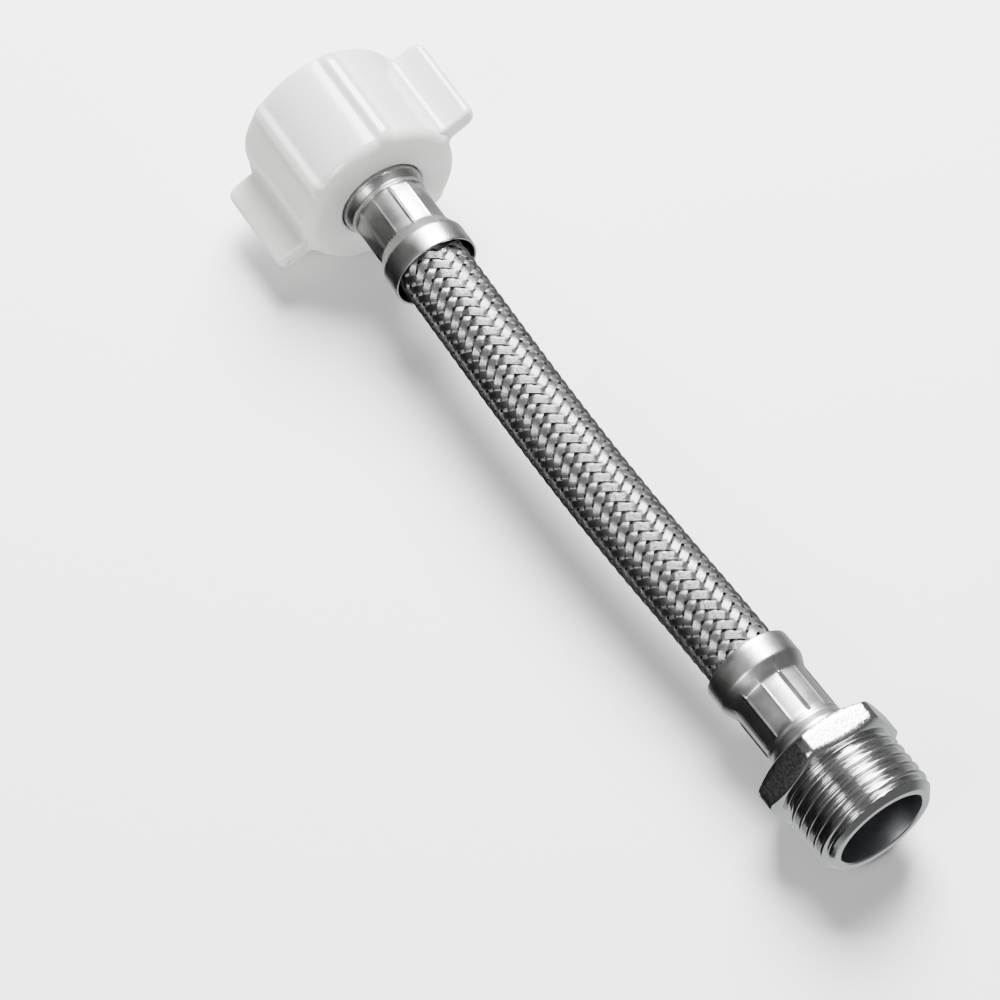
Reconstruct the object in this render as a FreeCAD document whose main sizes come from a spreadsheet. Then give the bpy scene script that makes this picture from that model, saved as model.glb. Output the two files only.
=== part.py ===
"""Braided toilet supply connector: a winged coupling nut on one end of a short steel-braided
hose and a pipe-threaded hex adapter on the other.

Frame: +X runs along the coupling nut's axis from its mouth towards the hose, +Z is up, and the
origin is on that axis where the nut's thread starts.  Lengths are in millimetres.
"""
import FreeCAD, Part
import math
import os

import Sketcher
from FreeCAD import Placement, Rotation, Vector

# ---------------------------------------------------------------- driving dimensions
# alias, size in mm (or degrees, or a count), what it is
DIMENSIONS = [
    # coupling nut, 7/8-14 thread
    ("nut_radius", 14.35, "outer radius of the nut's barrel"),
    ("nut_mouth_lip", 0.8, "chamfered lip in front of the thread"),
    ("nut_thread_crest", 10.175, "radius of the inside thread's crests"),
    ("nut_thread_root", 11.11, "radius of the inside thread's roots"),
    ("nut_thread_pitch", 1.814, "fourteen threads to the inch"),
    ("nut_thread_turns", 5, "whole turns of thread"),
    ("nut_relief_length", 6.98, "clear bore behind the thread, for washer and flange"),
    ("nut_back_wall", 4.0, "thickness of the wall behind the nipple's flange"),
    ("nut_back_round", 2.2, "rounding of the nut's back edge"),
    ("rib_width", 3.2, "width of a grip rib"),
    ("rib_height", 1.1, "height of a grip rib above the barrel"),
    ("rib_back_gap", 0.9, "from the end of a rib to the nut's back face"),
    ("wing_reach", 20.6, "radius of a wing's tip"),
    ("wing_length", 17.5, "length of a wing along the axis"),
    ("wing_setback", 2.1, "from the nut's mouth to the wing"),
    ("wing_thickness", 3.2, "thickness of a wing"),
    ("wing_round", 1.5, "rounding of a wing's outer corners"),
    ("wing_turn", 23.5, "rest position of the wings, degrees above +Y"),
    # parts inside the nut
    ("flange_overlap", 2.05, "how far the nipple's flange reaches past the nut's hole"),
    ("flange_thickness", 1.6, "thickness of that flange"),
    ("snout_radius", 4.5, "snout of the nipple, which centres the washer"),
    ("snout_length", 2.6, "length of that snout"),
    ("washer_overhang", 0.1, "how far the washer's base reaches past the flange"),
    ("washer_nose_inset", 2.3, "radius that the washer loses from base to nose"),
    ("washer_rim", 1.2, "straight edge of the washer above the flange"),
    ("washer_length", 3.7, "sealing washer, base to nose"),
    ("slip_ring_thickness", 0.9, "ring between the flange and the nut's back wall"),
    # ferrules, two alike
    ("ferrule_length", 18.7, "length of a ferrule"),
    ("ferrule_wall", 0.5, "sheet thickness"),
    ("bead_rise", 0.8, "rounded bead on the ferrule's end, above the crimped neck"),
    ("bead_length", 4.0, "bead, from the ferrule's end to the crimp"),
    ("bead_front", 0.8, "rounded front of the bead"),
    ("bead_crown", 1.7, "from the ferrule's end to the back of the bead's flat crown"),
    ("crimp_squeeze", 0.15, "radial, how far the crimp presses the braid in"),
    ("crimp_length", 8.2, "length of the crimped neck"),
    ("cone_length", 2.4, "cone between neck and collar"),
    ("mouth_gap", 0.95, "radial gap round the hose in the ferrule's open mouth"),
    ("ridge_count", 12, "ridges that the crimping jaws leave"),
    ("ridge_height", 0.22, "height of a crimp ridge"),
    ("ridge_width", 0.4, "width of a crimp ridge"),
    # stems inside the hose
    ("neck_inset", 1.8, "from the ferrule's end to the hose's end"),
    ("stem_slack", 0.4, "radial, barbed stem's root inside the tube"),
    ("stem_length", 15.5, "barbed stem"),
    ("barb_bite", 0.25, "radial, how far a barb's tip bites into the tube"),
    ("barb_pitch", 3.4, "from barb to barb"),
    ("barb_count", 4, "barbs on a stem"),
    ("stem_wall", 0.8, "wall of a stem round its water way"),
    # hose
    ("tube_bore", 4.0, "inner radius of the rubber tube"),
    ("tube_wall", 1.5, "wall of the rubber tube"),
    ("braid_thickness", 0.75, "both layers of the wire braid"),
    # male adapter, G 1/2 thread
    ("hex_flats", 22.0, "across the flats"),
    ("hex_corner_radius", 12.35, "hexagon's corners, turned down"),
    ("hex_length", 5.0, "length of the hexagon"),
    ("hex_turn", -3.5, "rest position of the hexagon, degrees"),
    ("pipe_crest", 10.478, "radius of the outside thread's crests"),
    ("pipe_root", 9.316, "radius of the outside thread's roots"),
    ("pipe_pitch", 1.814, "fourteen threads to the inch"),
    ("pipe_turns", 5, "whole turns of thread"),
    ("pipe_tip_length", 1.3, "chamfered tip past the thread"),
    ("pipe_relief", 0.9, "turned relief between hexagon and thread"),
    ("pipe_tip_radius", 9.15, "outer radius of the tip's face"),
    ("pipe_bore", 7.75, "bore at the male end"),
    ("pipe_bore_depth", 11.0, "depth of that bore"),
    # clearances
    ("slide_clearance", 0.15, "radial, nut's hole round the ferrule's bead"),
    ("face_clearance", 0.1, "between faces of parts that turn on each other"),
    ("ring_clearance", 0.3, "radial, slip ring in the nut"),
    ("seat_clearance", 0.05, "radial, washer on the nipple's snout"),
    ("end_clearance", 0.1, "radial, stem's neck in the ferrule's end"),
]

# ---------------------------------------------------------------- small fixed shapes
THREAD_FLANK = math.tan(math.radians(30.0))   # half angle of a sixty-degree thread
NUT_CREST_SHARE = 0.25                        # of the inside thread's pitch, flat crest
PIPE_CREST_SHARE = 0.15                       # of the outside thread's pitch, flat crest
RELIEF_DEPTH = 0.19                           # nut's clear bore, beyond the thread's roots
RELIEF_RUN_OUT = 0.4                          # cone from the last crest into that bore
ROOTED = 1.5                                  # how deep ribs and wings start in the barrel
RIB_TOP_SHARE = 0.72                          # of a rib's width, at its top
RING_SLACK = 0.05                             # radial, slip ring round the nut's hole
BARB_FOOT, BARB_TIP, BARB_TAIL = 0.12, 0.10, 0.45   # shares of the barb's pitch from its crest
BEAD_FLAT = 0.75                              # ferrule's end face, below the bead's crown
BEAD_SHOULDER = 0.25                          # corner of the bead's round, below the crown
BEAD_SHOULDER_SHARE = 0.3                     # of the bead's front round, at that corner
BEAD_STEP = 0.15                              # foot of the bead, above the crimped neck
BEAD_FOOT_LENGTH = 0.8                        # length of that foot
BEAD_INNER_CORNER = 0.3                       # slope inside the bead's front round
RIDGE_ROOTED = 0.2                            # how deep a crimp ridge starts in the sheet
RIDGE_TOP_SHARE = 0.4                         # of a ridge's width, at its top
FACE_STEP = 0.15                              # hexagon's turned face, beyond its flats
CHAMFER_SLOPE = 0.55                          # hexagon's chamfer, along over across
BORE_CONE = 1.8                               # drill's cone at the end of the male bore
PAST = 1.0                                    # how far a cutting outline reaches past a face
CUT_PAST = 0.2                                # the same, past a thread's crests

# The hose's route, centre line, in mm: along the nut's axis, then a gentle bend that brings the
# hexagon down on the surface that the nut lies on.  These points are chosen, not worked out.
HOSE_ROUTE = [
    (21.0, 0.0, 0.0),
    (42.1, 0.0, 0.0),
    (68.8, 0.1, -0.75),
    (95.4, 1.2, -1.8),
    (121.9, 3.5, -2.75),
    (142.8, 4.8, -3.65),
]
ARC_SHARE = 0.45                              # share of the shorter run that an arc takes up

doc = FreeCAD.newDocument("supply_connector")


# ---------------------------------------------------------------- the sheet and its sizes
sheet = doc.addObject("Spreadsheet::Sheet", "Dims")
values = {}
for row, (alias, number, meaning) in enumerate(DIMENSIONS, start=1):
    sheet.set(f"A{row}", meaning)
    sheet.set(f"B{row}", str(number))
    sheet.setAlias(f"B{row}", alias)
    values[alias] = float(number)
doc.recompute()


class Size:
    """A length with its number now and the expression that keeps it true."""

    def __init__(self, number, words):
        self.number = number
        self.words = words

    def _join(self, other, sign, number):
        words = other.words if isinstance(other, Size) else repr(float(other))
        return Size(number, f"({self.words} {sign} {words})")

    def __add__(self, other):
        return self._join(other, "+", self.number + number_of(other))

    def __sub__(self, other):
        return self._join(other, "-", self.number - number_of(other))

    def __mul__(self, other):
        return self._join(other, "*", self.number * number_of(other))

    def __neg__(self):
        return Size(-self.number, f"(0 - {self.words})")


def number_of(length):
    return length.number if isinstance(length, Size) else float(length)


def dim(alias):
    """The named size from the sheet."""
    return Size(values[alias], f"Dims.{alias}")


def bind(thing, prop, length):
    """Keep one property of a feature equal to a length."""
    thing.setExpression(prop, length.words)


ZERO = Size(0.0, "0")


# ---------------------------------------------------------------- PartDesign helpers
def new_body(label):
    body = doc.addObject("PartDesign::Body", label)
    body.Label = label
    return body


def sketch_on(body, role, name, offset=None):
    """An empty sketch on one of the body's origin planes, moved off it by a length if given."""
    sketch = body.newObject("Sketcher::SketchObject", f"{body.Name}_{name}")
    plane = next(f for f in body.Origin.OriginFeatures if f.Role == role)
    sketch.AttachmentSupport = (plane, [""])
    sketch.MapMode = "FlatFace"
    if offset is not None:
        bind(sketch, "AttachmentOffset.Base.z", offset)
    return sketch


def polygon(sketch, corners):
    """A closed outline whose every corner is held at its own two lengths."""
    spots = [Vector(number_of(u), number_of(v), 0) for u, v in corners]
    count = len(spots)
    for i, spot in enumerate(spots):
        sketch.addGeometry(Part.LineSegment(spot, spots[(i + 1) % count]), False)
    for i in range(count):
        sketch.addConstraint(Sketcher.Constraint("Coincident", i, 2, (i + 1) % count, 1))
    for i, (u, v) in enumerate(corners):
        for kind, length in (("DistanceX", u), ("DistanceY", v)):
            held = Sketcher.Constraint(kind, -1, 1, i, 1, number_of(length))
            index = sketch.addConstraint(held)
            name = f"{kind[-1].lower()}{i + 1}"
            sketch.renameConstraint(index, name)
            sketch.setExpression(f"Constraints.{name}", length.words)
    return sketch


def turned(body, name, corners, cut=False):
    """Revolve an outline (along the axis, radius) once round the body's X axis."""
    sketch = polygon(sketch_on(body, "XY_Plane", f"{name}_outline"), corners)
    kind = "PartDesign::Groove" if cut else "PartDesign::Revolution"
    feature = body.newObject(kind, f"{body.Name}_{name}")
    feature.Profile = sketch
    feature.ReferenceAxis = (sketch, ["H_Axis"])
    feature.Angle = 360.0
    sketch.Visibility = False
    doc.recompute()
    return feature


def padded(body, name, role, corners, length, midplane=False, offset=None):
    """Pad an outline that stands on one of the body's planes."""
    sketch = polygon(sketch_on(body, role, f"{name}_outline", offset), corners)
    pad = body.newObject("PartDesign::Pad", f"{body.Name}_{name}")
    pad.Profile = sketch
    bind(pad, "Length", length)
    pad.Midplane = midplane
    doc.recompute()
    return pad


def repeated_along(body, feature, length, count):
    """Copy a feature along X: count copies over the whole length."""
    pattern = body.newObject("PartDesign::LinearPattern", f"{feature.Name}_row")
    pattern.Originals = [feature]
    pattern.Direction = (feature.Profile[0], ["H_Axis"])
    bind(pattern, "Length", length)
    bind(pattern, "Occurrences", count)
    body.Tip = pattern
    doc.recompute()
    return pattern


def repeated_round(body, feature, count):
    """Copy a feature round the body's X axis."""
    pattern = body.newObject("PartDesign::PolarPattern", f"{feature.Name}_ring")
    axis = next(f for f in body.Origin.OriginFeatures if f.Role == "X_Axis")
    pattern.Originals = [feature]
    pattern.Axis = (axis, [""])
    pattern.Angle = 360.0
    if isinstance(count, Size):
        bind(pattern, "Occurrences", count)
    else:
        pattern.Occurrences = count
    body.Tip = pattern
    doc.recompute()
    return pattern


def rounded(body, base, edges, radius, name):
    """Fillet some edges of the last feature."""
    fillet = body.newObject("PartDesign::Fillet", f"{body.Name}_{name}")
    fillet.Base = (base, edges)
    bind(fillet, "Radius", radius)
    doc.recompute()
    return fillet


def edges_where(feature, test):
    """Names of the feature's edges that pass a test."""
    return [f"Edge{i}" for i, edge in enumerate(feature.Shape.Edges, start=1) if test(edge)]


def box_outline(start, end, low, high):
    return [(start, low), (end, low), (end, high), (start, high)]


def volume_grew(feature, before, sign):
    """Stop if a feature that should add (+1) or remove (-1) material did nothing."""
    change = feature.Shape.Volume - before
    if change * sign <= 1e-6:
        raise RuntimeError(f"{feature.Name} changed the volume by {change:.4f} mm3")


# ---------------------------------------------------------------- radii that follow the hose
tube_radius = dim("tube_bore") + dim("tube_wall")
braid_radius = tube_radius + dim("braid_thickness")
crimp_radius = braid_radius + dim("ferrule_wall") - dim("crimp_squeeze")
collar_radius = braid_radius + dim("mouth_gap") + dim("ferrule_wall")
bead_radius = crimp_radius + dim("bead_rise")
end_hole_radius = crimp_radius - dim("ferrule_wall")
neck_radius = end_hole_radius - dim("end_clearance")
stem_radius = dim("tube_bore") - dim("stem_slack")
barb_radius = dim("tube_bore") + dim("barb_bite")
stem_bore = stem_radius - dim("stem_wall")
hole_radius = bead_radius + dim("slide_clearance")
flange_radius = hole_radius + dim("flange_overlap")
washer_radius = flange_radius + dim("washer_overhang")


# ---------------------------------------------------------------- places along the nut's axis
thread_length = dim("nut_thread_pitch") * dim("nut_thread_turns")
crest_width = dim("nut_thread_pitch") * NUT_CREST_SHARE
relief_start = thread_length + crest_width
shoulder = relief_start + dim("nut_relief_length")
nut_back = shoulder + dim("nut_back_wall")
nut_mouth = -dim("nut_mouth_lip")
relief_radius = dim("nut_thread_root") + RELIEF_DEPTH
flange_back = shoulder - dim("slip_ring_thickness") - dim("face_clearance") * 2
flange_front = flange_back - dim("flange_thickness")
hose_start = Size(HOSE_ROUTE[0][0], repr(HOSE_ROUTE[0][0]))
ferrule_start = hose_start - dim("neck_inset")


# ---------------------------------------------------------------- coupling nut
def coupling_nut():
    """Moulded nut: barrel with inside thread, six grip ribs and two wings."""
    body = new_body("coupling_nut")
    barrel = dim("nut_radius")
    turned(body, "barrel", [
        (nut_mouth, relief_radius),
        (nut_mouth, barrel),
        (nut_back, barrel),
        (nut_back, hole_radius),
        (shoulder, hole_radius),
        (shoulder, relief_radius),
        (relief_start + RELIEF_RUN_OUT, relief_radius),
        (relief_start, dim("nut_thread_crest")),
        (ZERO, dim("nut_thread_crest")),
    ])
    solid = body.Tip
    rear = edges_where(solid, lambda e: is_circle_at(e, nut_back, barrel))
    solid = rounded(body, solid, rear, dim("nut_back_round"), "back_round")

    inner = barrel - ROOTED
    rib_end = nut_back - dim("rib_back_gap")
    half_rib = dim("rib_width") * 0.5
    rib_top = barrel + dim("rib_height")
    rib = padded(body, "rib", "YZ_Plane",
                 [(inner, -half_rib), (rib_top, -half_rib * RIB_TOP_SHARE),
                  (rib_top, half_rib * RIB_TOP_SHARE), (inner, half_rib)],
                 rib_end - nut_mouth, offset=nut_mouth)
    ribs = repeated_round(body, rib, 6)
    volume_grew(ribs, solid.Shape.Volume, 1)

    wing_start = nut_mouth + dim("wing_setback")
    wing_end = wing_start + dim("wing_length")
    wing = padded(body, "wing", "XY_Plane",
                  box_outline(wing_start, wing_end, inner, dim("wing_reach")),
                  dim("wing_thickness"), midplane=True)
    wings = repeated_round(body, wing, 2)
    volume_grew(wings, ribs.Shape.Volume, 1)
    tips = edges_where(wings, lambda e: is_wing_corner(e))
    rounded(body, wings, tips, dim("wing_round"), "wing_round")

    valley_start = crest_width
    valley_end = dim("nut_thread_pitch")
    depth = dim("nut_thread_root") - dim("nut_thread_crest")
    flank = depth * THREAD_FLANK
    before = body.Tip.Shape.Volume
    valley = turned(body, "thread_valley", [
        (valley_start, dim("nut_thread_crest") - CUT_PAST),
        (valley_start, dim("nut_thread_crest")),
        (valley_start + flank, dim("nut_thread_root")),
        (valley_end - flank, dim("nut_thread_root")),
        (valley_end, dim("nut_thread_crest")),
        (valley_end, dim("nut_thread_crest") - CUT_PAST),
    ], cut=True)
    row = repeated_along(body, valley, thread_length - dim("nut_thread_pitch"),
                         dim("nut_thread_turns"))
    volume_grew(row, before, -1)
    body.Placement = Placement(Vector(), Rotation(Vector(1, 0, 0), values["wing_turn"]))
    return body


def is_circle_at(edge, along, radius):
    """Is the edge a full circle of this radius at this place along X?"""
    curve = edge.Curve
    return (isinstance(curve, Part.Circle) and abs(curve.Radius - radius.number) < 1e-4
            and abs(curve.Center.x - along.number) < 1e-4)


def is_wing_corner(edge):
    """A wing's outer corners run across its thickness, at the wing's tip."""
    box = edge.BoundBox
    at_tip = abs(box.YMin) > values["wing_reach"] - 0.01
    return at_tip and box.XLength < 1e-4 and box.YLength < 1e-4 and box.ZLength > 0.1


# ---------------------------------------------------------------- small turned parts
def slip_ring():
    """Thin plain ring that the nut's back wall turns on."""
    body = new_body("slip_ring")
    turned(body, "ring", box_outline(
        flange_back + dim("face_clearance"), shoulder - dim("face_clearance"),
        hole_radius + RING_SLACK, relief_radius - dim("ring_clearance")))
    return body


def cone_washer():
    """Rubber washer with a conical nose, seated on the nipple's flange."""
    body = new_body("cone_washer")
    nose = flange_front - dim("washer_length")
    bore = dim("snout_radius") + dim("seat_clearance")
    turned(body, "washer", [
        (flange_front, bore),
        (flange_front, washer_radius),
        (flange_front - dim("washer_rim"), washer_radius),
        (nose, washer_radius - dim("washer_nose_inset")),
        (nose, bore),
    ])
    return body


def barb_outline(root, outward):
    """Barbs along a stem, from its root outwards (outward is +1 or -1 along X)."""
    corners = []
    for i in range(int(values["barb_count"])):
        crest = root + (dim("barb_pitch") * (i + 1)) * outward
        corners.append((crest - dim("barb_pitch") * (BARB_FOOT * outward), stem_radius))
        corners.append((crest - dim("barb_pitch") * (BARB_TIP * outward), barb_radius))
        corners.append((crest + dim("barb_pitch") * (BARB_TAIL * outward), stem_radius))
    return corners


def flanged_nipple():
    """Barbed insert whose flange holds the nut and carries the washer."""
    body = new_body("flanged_nipple")
    snout = flange_front - dim("snout_length")
    stem_end = hose_start + dim("stem_length")
    outer = [
        (snout, stem_bore),
        (snout, dim("snout_radius")),
        (flange_front, dim("snout_radius")),
        (flange_front, flange_radius),
        (flange_back, flange_radius),
        (flange_back, neck_radius),
        (hose_start, neck_radius),
        (hose_start, stem_radius),
    ]
    outer += barb_outline(hose_start, 1.0)
    outer += [(stem_end, stem_radius), (stem_end, stem_bore)]
    turned(body, "nipple", outer)
    return body


# ---------------------------------------------------------------- ferrules
def ferrule(label):
    """Pressed sleeve, bead first along its own X axis, with the marks of the crimping jaws."""
    body = new_body(label)
    wall = dim("ferrule_wall")
    end_hole, bead = end_hole_radius, bead_radius
    neck, collar = crimp_radius, collar_radius
    neck_start = dim("bead_length")
    neck_end = neck_start + dim("crimp_length")
    cone_end = neck_end + dim("cone_length")
    mouth = dim("ferrule_length")
    swell, crown = dim("bead_front"), dim("bead_crown")
    turned(body, "sleeve", [
        (ZERO, end_hole),
        (ZERO, bead - BEAD_FLAT),
        (swell * BEAD_SHOULDER_SHARE, bead - BEAD_SHOULDER),
        (swell, bead),
        (crown, bead),
        (neck_start - BEAD_FOOT_LENGTH, neck + BEAD_STEP),
        (neck_start, neck + BEAD_STEP),
        (neck_start, neck),
        (neck_end, neck),
        (cone_end, collar),
        (mouth, collar),
        (mouth, collar - wall),
        (cone_end, collar - wall),
        (neck_end, neck - wall),
        (neck_start, neck - wall),
        (crown, bead - wall),
        (swell, bead - wall),
        (wall, bead - wall - BEAD_INNER_CORNER),
        (wall, end_hole),
    ])
    half = dim("ridge_width") * 0.5
    before = body.Tip.Shape.Volume
    ridge = padded(body, "ridge", "YZ_Plane",
                   [(neck - RIDGE_ROOTED, -half),
                    (neck + dim("ridge_height"), -half * RIDGE_TOP_SHARE),
                    (neck + dim("ridge_height"), half * RIDGE_TOP_SHARE),
                    (neck - RIDGE_ROOTED, half)],
                   dim("crimp_length"), offset=neck_start)
    ridges = repeated_round(body, ridge, dim("ridge_count"))
    volume_grew(ridges, before, 1)
    return body


# ---------------------------------------------------------------- male adapter
def male_adapter():
    """Hexagon, outside pipe thread and barbed stem in one turned piece.

    Its own X axis starts at the hexagon's back face and points out of the thread.
    """
    body = new_body("male_adapter")
    hex_end = dim("hex_length")
    thread_start = hex_end + dim("pipe_relief")
    crest_width = dim("pipe_pitch") * PIPE_CREST_SHARE
    crest_end = thread_start + dim("pipe_pitch") * dim("pipe_turns") + crest_width
    tip = crest_end + dim("pipe_tip_length")
    neck_end = -dim("neck_inset")
    stem_end = neck_end - dim("stem_length")

    corner = dim("hex_flats") * (0.5 / math.cos(math.radians(30.0)))
    hexagon = [(corner * math.cos(math.radians(60.0 * i)),
                corner * math.sin(math.radians(60.0 * i))) for i in range(6)]
    block = padded(body, "hexagon", "YZ_Plane", hexagon, hex_end)
    before = block.Shape.Volume
    turned_down = dim("hex_corner_radius")
    beyond = dim("hex_flats")
    face_radius = dim("hex_flats") * 0.5 + FACE_STEP
    chamfer = (turned_down - face_radius) * CHAMFER_SLOPE
    corners_off = turned(body, "corners", [
        (ZERO, face_radius),
        (chamfer, turned_down),
        (hex_end - chamfer, turned_down),
        (hex_end, face_radius),
        (hex_end + PAST, face_radius),
        (hex_end + PAST, beyond),
        (ZERO - PAST, beyond),
        (ZERO - PAST, face_radius),
    ], cut=True)
    volume_grew(corners_off, before, -1)

    outline = [(stem_end, ZERO), (stem_end, stem_radius)]
    outline += reversed(barb_outline(neck_end, -1.0))
    outline += [
        (neck_end, stem_radius),
        (neck_end, neck_radius),
        (ZERO, neck_radius),
        (ZERO, dim("pipe_root")),
        (thread_start, dim("pipe_root")),
        (thread_start, dim("pipe_crest")),
        (crest_end, dim("pipe_crest")),
        (tip, dim("pipe_tip_radius")),
        (tip, ZERO),
    ]
    turned(body, "turned_body", outline)

    bore_floor = tip - dim("pipe_bore_depth")
    before = body.Tip.Shape.Volume
    water_way = turned(body, "water_way", [
        (stem_end - PAST, ZERO),
        (stem_end - PAST, stem_bore),
        (bore_floor - BORE_CONE, stem_bore),
        (bore_floor, dim("pipe_bore")),
        (tip + PAST, dim("pipe_bore")),
        (tip + 1.0, ZERO),
    ], cut=True)
    volume_grew(water_way, before, -1)

    flank = (dim("pipe_crest") - dim("pipe_root")) * THREAD_FLANK
    valley_start = thread_start + crest_width
    valley_end = thread_start + dim("pipe_pitch")
    before = body.Tip.Shape.Volume
    valley = turned(body, "thread_valley", [
        (valley_start, dim("pipe_crest") + CUT_PAST),
        (valley_start, dim("pipe_crest")),
        (valley_start + flank, dim("pipe_root")),
        (valley_end - flank, dim("pipe_root")),
        (valley_end, dim("pipe_crest")),
        (valley_end, dim("pipe_crest") + CUT_PAST),
    ], cut=True)
    row = repeated_along(body, valley, dim("pipe_pitch") * (dim("pipe_turns") - 1),
                         dim("pipe_turns"))
    volume_grew(row, before, -1)
    return body


# ---------------------------------------------------------------- hose
def hose_path():
    """The route as straight runs joined by tangent arcs, and the radii of those arcs."""
    points = [Vector(*p) for p in HOSE_ROUTE]
    edges, radii = [], []
    here = points[0]
    for before, corner, after in zip(points, points[1:], points[2:]):
        run_in, run_out = corner - before, after - corner
        reach = ARC_SHARE * min(run_in.Length, run_out.Length)
        way_in, way_out = run_in.normalize(), run_out.normalize()
        half_turn = way_in.getAngle(way_out) / 2.0
        radius = reach / math.tan(half_turn)
        start, end = corner - way_in * reach, corner + way_out * reach
        towards_centre = (way_out - way_in).normalize()
        middle = corner + towards_centre * (radius / math.cos(half_turn) - radius)
        edges.append(Part.LineSegment(here, start).toShape())
        edges.append(Part.Arc(start, middle, end).toShape())
        radii.append(radius)
        here = end
    edges.append(Part.LineSegment(here, points[-1]).toShape())
    return Part.Wire(edges), radii


def hose_solid(path, radius):
    """A round rod swept along the route."""
    first = path.Edges[0]
    across = Part.Circle(first.Vertexes[0].Point, first.tangentAt(first.FirstParameter), radius)
    return path.makePipeShell([Part.Wire([across.toShape()])], True, False)


def hose_layer(label, path, inner, outer):
    """One layer of the hose: a tube between two radii from the sheet."""
    shape = hose_solid(path, outer.number).cut(hose_solid(path, inner.number))
    solid = shape.Solids[0] if shape.Solids else shape
    expected = math.pi * (outer.number ** 2 - inner.number ** 2) * path.Length
    if abs(solid.Volume / expected - 1.0) > 0.01:
        raise RuntimeError(f"{label}: volume {solid.Volume:.1f}, expected {expected:.1f} mm3")
    feature = doc.addObject("Part::Feature", label)
    feature.Shape = solid
    feature.Label = label
    return feature


# ---------------------------------------------------------------- assembly
def along_x(base, direction):
    """The placement that puts a part's origin at base and its X axis along a direction."""
    return Placement(base, Rotation(Vector(1, 0, 0), direction))


def check_and_write(parts):
    """Refuse any failed feature or bad solid, then write one STEP file for each part."""
    for thing in doc.Objects:
        if "Invalid" in thing.State or "Error" in thing.State:
            raise RuntimeError(f"{thing.Name} did not build: {thing.State}")
    for part in parts:
        shape = part.Shape
        if shape.isNull() or not shape.isValid() or len(shape.Solids) != 1:
            raise RuntimeError(f"{part.Label} is not one valid solid")
    os.makedirs("parts", exist_ok=True)
    for part in parts:
        part.Shape.exportStep(f"parts/{part.Label}.step")
        box = part.Shape.BoundBox
        print(f"{part.Label}: {part.Shape.Volume:.1f} mm3, x {box.XMin:.2f} to {box.XMax:.2f}, "
              f"y {box.YMin:.2f} to {box.YMax:.2f}, z {box.ZMin:.2f} to {box.ZMax:.2f}")


path, bend_radii = hose_path()
print("hose:", f"{path.Length:.1f} mm long, bend radii", [round(r) for r in bend_radii])

hose_end = Vector(*HOSE_ROUTE[-1])
out_of_hose = (hose_end - Vector(*HOSE_ROUTE[-2])).normalize()
hex_back = hose_end + out_of_hose * values["neck_inset"]

nut_ferrule = ferrule("nut_end_ferrule")
nut_ferrule.Placement = along_x(Vector(ferrule_start.number, 0, 0), Vector(1, 0, 0))
male_ferrule = ferrule("male_end_ferrule")
male_ferrule.Placement = along_x(hex_back, out_of_hose * -1.0)
adapter = male_adapter()
facing = along_x(hex_back, out_of_hose)
adapter.Placement = facing * Placement(Vector(), Rotation(Vector(1, 0, 0), values["hex_turn"]))

parts = [
    coupling_nut(),
    slip_ring(),
    cone_washer(),
    flanged_nipple(),
    nut_ferrule,
    hose_layer("inner_tube", path, dim("tube_bore"), tube_radius),
    hose_layer("wire_braid", path, tube_radius, braid_radius),
    male_ferrule,
    adapter,
]
doc.recompute()
check_and_write(parts)
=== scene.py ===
"""Looks for a braided toilet supply connector: plastic coupling nut, braided hose, male fitting.

It is laid out as a Blender add-on and run as a script. Every piece is built in metres, in the
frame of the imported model, with the hose's axis along +X at the nut.
"""

import math

import bpy
import bmesh
from mathutils import Matrix, Vector


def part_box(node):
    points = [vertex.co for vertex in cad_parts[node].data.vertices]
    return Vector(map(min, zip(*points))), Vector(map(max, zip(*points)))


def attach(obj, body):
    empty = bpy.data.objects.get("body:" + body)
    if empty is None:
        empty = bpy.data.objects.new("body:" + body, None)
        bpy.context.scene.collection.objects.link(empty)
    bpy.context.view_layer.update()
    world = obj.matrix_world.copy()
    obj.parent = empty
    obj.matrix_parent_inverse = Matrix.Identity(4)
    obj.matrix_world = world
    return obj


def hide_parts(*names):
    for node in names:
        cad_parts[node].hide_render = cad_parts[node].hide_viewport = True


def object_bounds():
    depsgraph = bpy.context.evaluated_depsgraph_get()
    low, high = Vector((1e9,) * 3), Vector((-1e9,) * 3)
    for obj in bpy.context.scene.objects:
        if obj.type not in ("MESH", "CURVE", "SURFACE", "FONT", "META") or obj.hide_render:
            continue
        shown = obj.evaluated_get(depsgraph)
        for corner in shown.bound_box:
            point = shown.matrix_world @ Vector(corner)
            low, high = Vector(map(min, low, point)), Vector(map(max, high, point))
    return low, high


bl_info = {
    "name": "Braided supply connector",
    "version": (1, 0, 0),
    "blender": (4, 5, 0),
    "location": "3D View > Sidebar > Connector",
    "description": "Builds a braided toilet supply connector piece by piece",
    "category": "Add Mesh",
}

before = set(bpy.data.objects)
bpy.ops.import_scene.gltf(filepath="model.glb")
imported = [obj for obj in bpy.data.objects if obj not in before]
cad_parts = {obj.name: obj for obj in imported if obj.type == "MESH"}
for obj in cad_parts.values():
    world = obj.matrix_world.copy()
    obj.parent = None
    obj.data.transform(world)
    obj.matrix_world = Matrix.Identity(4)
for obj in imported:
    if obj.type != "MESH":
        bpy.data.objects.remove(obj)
cad_low, cad_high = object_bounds()
MM = 0.001

# The hose's route, nut end first. The spline uses these as its control points.
ROUTE = [
    (0.0210, 0.0, 0.0),
    (0.0421, 0.0, 0.0),
    (0.0688, 0.0001, -0.00075),
    (0.0954, 0.0012, -0.0018),
    (0.1219, 0.0035, -0.00275),
    (0.1428, 0.0048, -0.00365),
]


def linear(hex_colour):
    """An sRGB hex colour as the linear red, green, blue and alpha that shaders take."""
    parts = [int(hex_colour[i : i + 2], 16) / 255 for i in (1, 3, 5)]
    return [p / 12.92 if p <= 0.04045 else ((p + 0.055) / 1.055) ** 2.4 for p in parts] + [1.0]


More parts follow.
